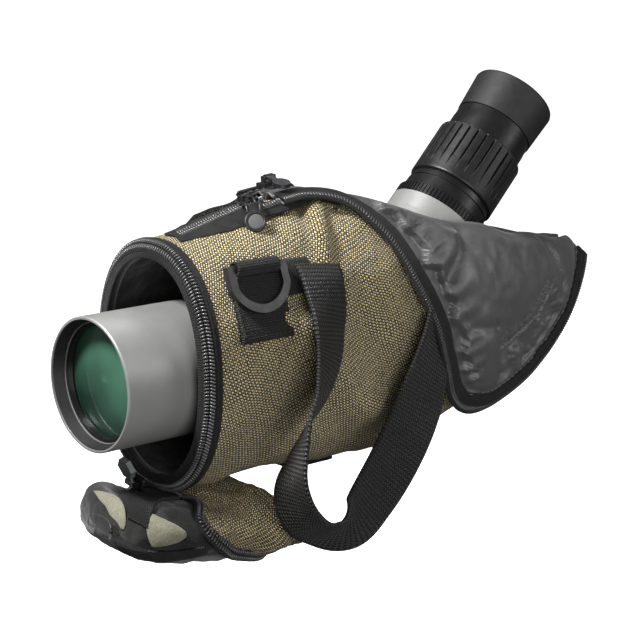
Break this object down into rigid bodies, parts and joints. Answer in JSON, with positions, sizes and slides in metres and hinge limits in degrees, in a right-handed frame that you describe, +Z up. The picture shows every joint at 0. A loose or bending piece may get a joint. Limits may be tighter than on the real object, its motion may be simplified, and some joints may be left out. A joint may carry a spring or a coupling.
{
  "type": "spotting scope in a fitted case",
  "caption": "Angled spotting scope with zoom eyepiece, twist-up eyecup and sliding sunshade, worn in a zipped soft case with a carry strap and a hanging front cap.",
  "frame": {"origin": "mouth of the tripod thread, in the flat underside of the foot", "axes": "+Z up out of the foot towards the optical axis, +X from the objective towards the eyepiece, -Y the side with the carry strap"},
  "size_m": [0.312, 0.12, 0.2123],
  "materials": {
    "grey_paint": "fine grey paint",
    "black_anodised": "satin",
    "bare_edge": "satin",
    "flock": "matt flocked",
    "coated_glass": "green coated",
    "glass": "polished",
    "brass_metal": "bright",
    "steel": "brushed",
    "rubber": "matt",
    "khaki": "coarse ballistic weave",
    "lining": "brushed fleece",
    "satin": "satin lining, wrinkled",
    "webbing": "ribbed webbing",
    "tape": "woven tape",
    "coil": "moulded coil",
    "buckle": "moulded",
    "pull_metal": "gunmetal",
    "pull_grey": "moulded"
  },
  "bodies": {
    "scope": {"objective_barrel": "grey_paint", "objective_cell": "black_anodised", "objective_retaining_ring": "black_anodised", "objective_front_element": "coated_glass", "objective_rear_element": "glass", "mid_tube": "grey_paint", "tripod_foot": "black_anodised", "thread_bush": "steel", "foot_screws": "steel", "prism_housing": "grey_paint", "housing_cover": "grey_paint", "cover_screws": "steel", "prism": "glass", "prism_cage": "black_anodised", "eyepiece_chassis": "black_anodised", "lower_scale_ring": "black_anodised", "field_stop": "black_anodised", "field_lens": "glass", "eye_lens": "coated_glass", "eye_lens_retainer": "black_anodised", "upper_scale_ring": "black_anodised", "case_body": "khaki", "case_lining": "lining", "mouth_binding": "tape", "mouth_zipper": "coil", "top_zipper_tape": "tape", "top_zipper_coil": "coil", "rear_slider": "pull_metal", "mouth_slider": "pull_metal", "near_flap": "satin", "near_flap_zipper": "coil", "far_flap": "satin", "far_flap_zipper": "coil", "d_ring_patch_near": "webbing", "d_ring_patch_far": "webbing", "strap_front_end": "webbing", "strap_rear_end": "webbing"},
    "sunshade": {"sunshade": "grey_paint", "sunshade_liner": "flock"},
    "focus_ring": {"focus_ring": "rubber"},
    "focus_carriage": {"focus_cell": "black_anodised", "focus_lens": "glass"},
    "lock_collar": {"lock_collar": "black_anodised"},
    "zoom_ring": {"zoom_ring": "rubber"},
    "zoom_front": {"zoom_cell_front": "black_anodised", "zoom_lens_front": "glass"},
    "zoom_rear": {"zoom_cell_rear": "black_anodised", "zoom_lens_rear": "glass"},
    "eyecup_sleeve": {"eyecup_sleeve": "black_anodised"},
    "eyecup": {"eyecup": "rubber"},
    "top_slider": {"top_slider": "pull_metal"},
    "top_pull": {"top_pull": "pull_metal"},
    "rear_pull": {"rear_pull": "pull_metal"},
    "mouth_pull": {"mouth_pull": "pull_grey"},
    "d_ring_near": {"d_ring_near": "buckle"},
    "d_ring_far": {"d_ring_far": "buckle"},
    "carry_strap": {"carry_strap": "webbing"},
    "front_cap": {"cap_lining": "lining", "cap_shell": "khaki", "cap_zipper": "coil"}
  },
  "joints": [
    {"name": "shade_slide", "type": "slide", "parent": "scope", "child": "sunshade", "axis": [-1, 0, 0], "range_m": [0, 0.025]},
    {"name": "focus_turn", "type": "hinge", "parent": "scope", "child": "focus_ring", "pos_m": [-0.024, 0, 0.056], "axis": [1, 0, 0], "range_deg": [-60, 240]},
    {"name": "focus_travel", "type": "slide", "parent": "scope", "child": "focus_carriage", "axis": [1, 0, 0], "range_m": [-0.0025, 0.0097]},
    {"name": "collar_turn", "type": "hinge", "parent": "scope", "child": "lock_collar", "pos_m": [0.09402, 0, 0.10762], "axis": [0.7071, 0, 0.7071], "range_deg": [0, 60]},
    {"name": "zoom_turn", "type": "hinge", "parent": "scope", "child": "zoom_ring", "pos_m": [0.11311, 0, 0.12671], "axis": [0.7071, 0, 0.7071], "range_deg": [0, 120]},
    {"name": "zoom_front_travel", "type": "slide", "parent": "scope", "child": "zoom_front", "axis": [0.7071, 0, 0.7071], "range_m": [0, 0.0101]},
    {"name": "zoom_rear_travel", "type": "slide", "parent": "scope", "child": "zoom_rear", "axis": [0.7071, 0, 0.7071], "range_m": [-0.0081, 0]},
    {"name": "eyecup_turn", "type": "hinge", "parent": "scope", "child": "eyecup_sleeve", "pos_m": [0.13432, 0, 0.14792], "axis": [0.7071, 0, 0.7071], "range_deg": [0, 90]},
    {"name": "eyecup_lift", "type": "slide", "parent": "eyecup_sleeve", "child": "eyecup", "axis": [0.7071, 0, 0.7071], "range_m": [0, 0.0081]},
    {"name": "zip_slide", "type": "slide", "parent": "scope", "child": "top_slider", "axis": [-0.9814, 0, -0.192], "range_m": [0, 0.034]},
    {"name": "top_pull_swing", "type": "hinge", "parent": "top_slider", "child": "top_pull", "pos_m": [-0.02846, 0, 0.13058], "axis": [-0.9814, 0, -0.192], "range_deg": [0, 140]},
    {"name": "rear_pull_swing", "type": "hinge", "parent": "scope", "child": "rear_pull", "pos_m": [-0.0143, 0, 0.13769], "axis": [-0.9971, 0, -0.0758], "range_deg": [0, 140]},
    {"name": "mouth_pull_swing", "type": "hinge", "parent": "scope", "child": "mouth_pull", "pos_m": [-0.0892, 0.0115, 0.0031], "axis": [0, 0.9854, 0.1701], "range_deg": [-75, 0]},
    {"name": "d_ring_near_swing", "type": "hinge", "parent": "scope", "child": "d_ring_near", "pos_m": [-0.0528, -0.03667, 0.10514], "axis": [-1, 0, 0], "range_deg": [0, 100]},
    {"name": "d_ring_far_swing", "type": "hinge", "parent": "scope", "child": "d_ring_far", "pos_m": [-0.0528, 0.03667, 0.10514], "axis": [1, 0, 0], "range_deg": [0, 100]},
    {"name": "strap_swing", "type": "hinge", "parent": "scope", "child": "carry_strap", "pos_m": [-0.0185, -0.0451, 0.08625], "axis": [-0.7939, 0.0972, 0.6002], "range_deg": [0, 35]},
    {"name": "cap_swing", "type": "hinge", "parent": "scope", "child": "front_cap", "pos_m": [-0.0765, 0, -0.0008], "axis": [0, 1, 0], "range_deg": [-8, 8]}
  ],
  "couplings": [
    {"joint": "focus_travel", "follows": "focus_turn", "m_per_rad": 0.0022918},
    {"joint": "zoom_front_travel", "follows": "zoom_turn", "m_per_rad": 0.0047746},
    {"joint": "zoom_rear_travel", "follows": "zoom_turn", "m_per_rad": -0.0038197},
    {"joint": "eyecup_lift", "follows": "eyecup_turn", "m_per_rad": 0.0050929}
  ]
}
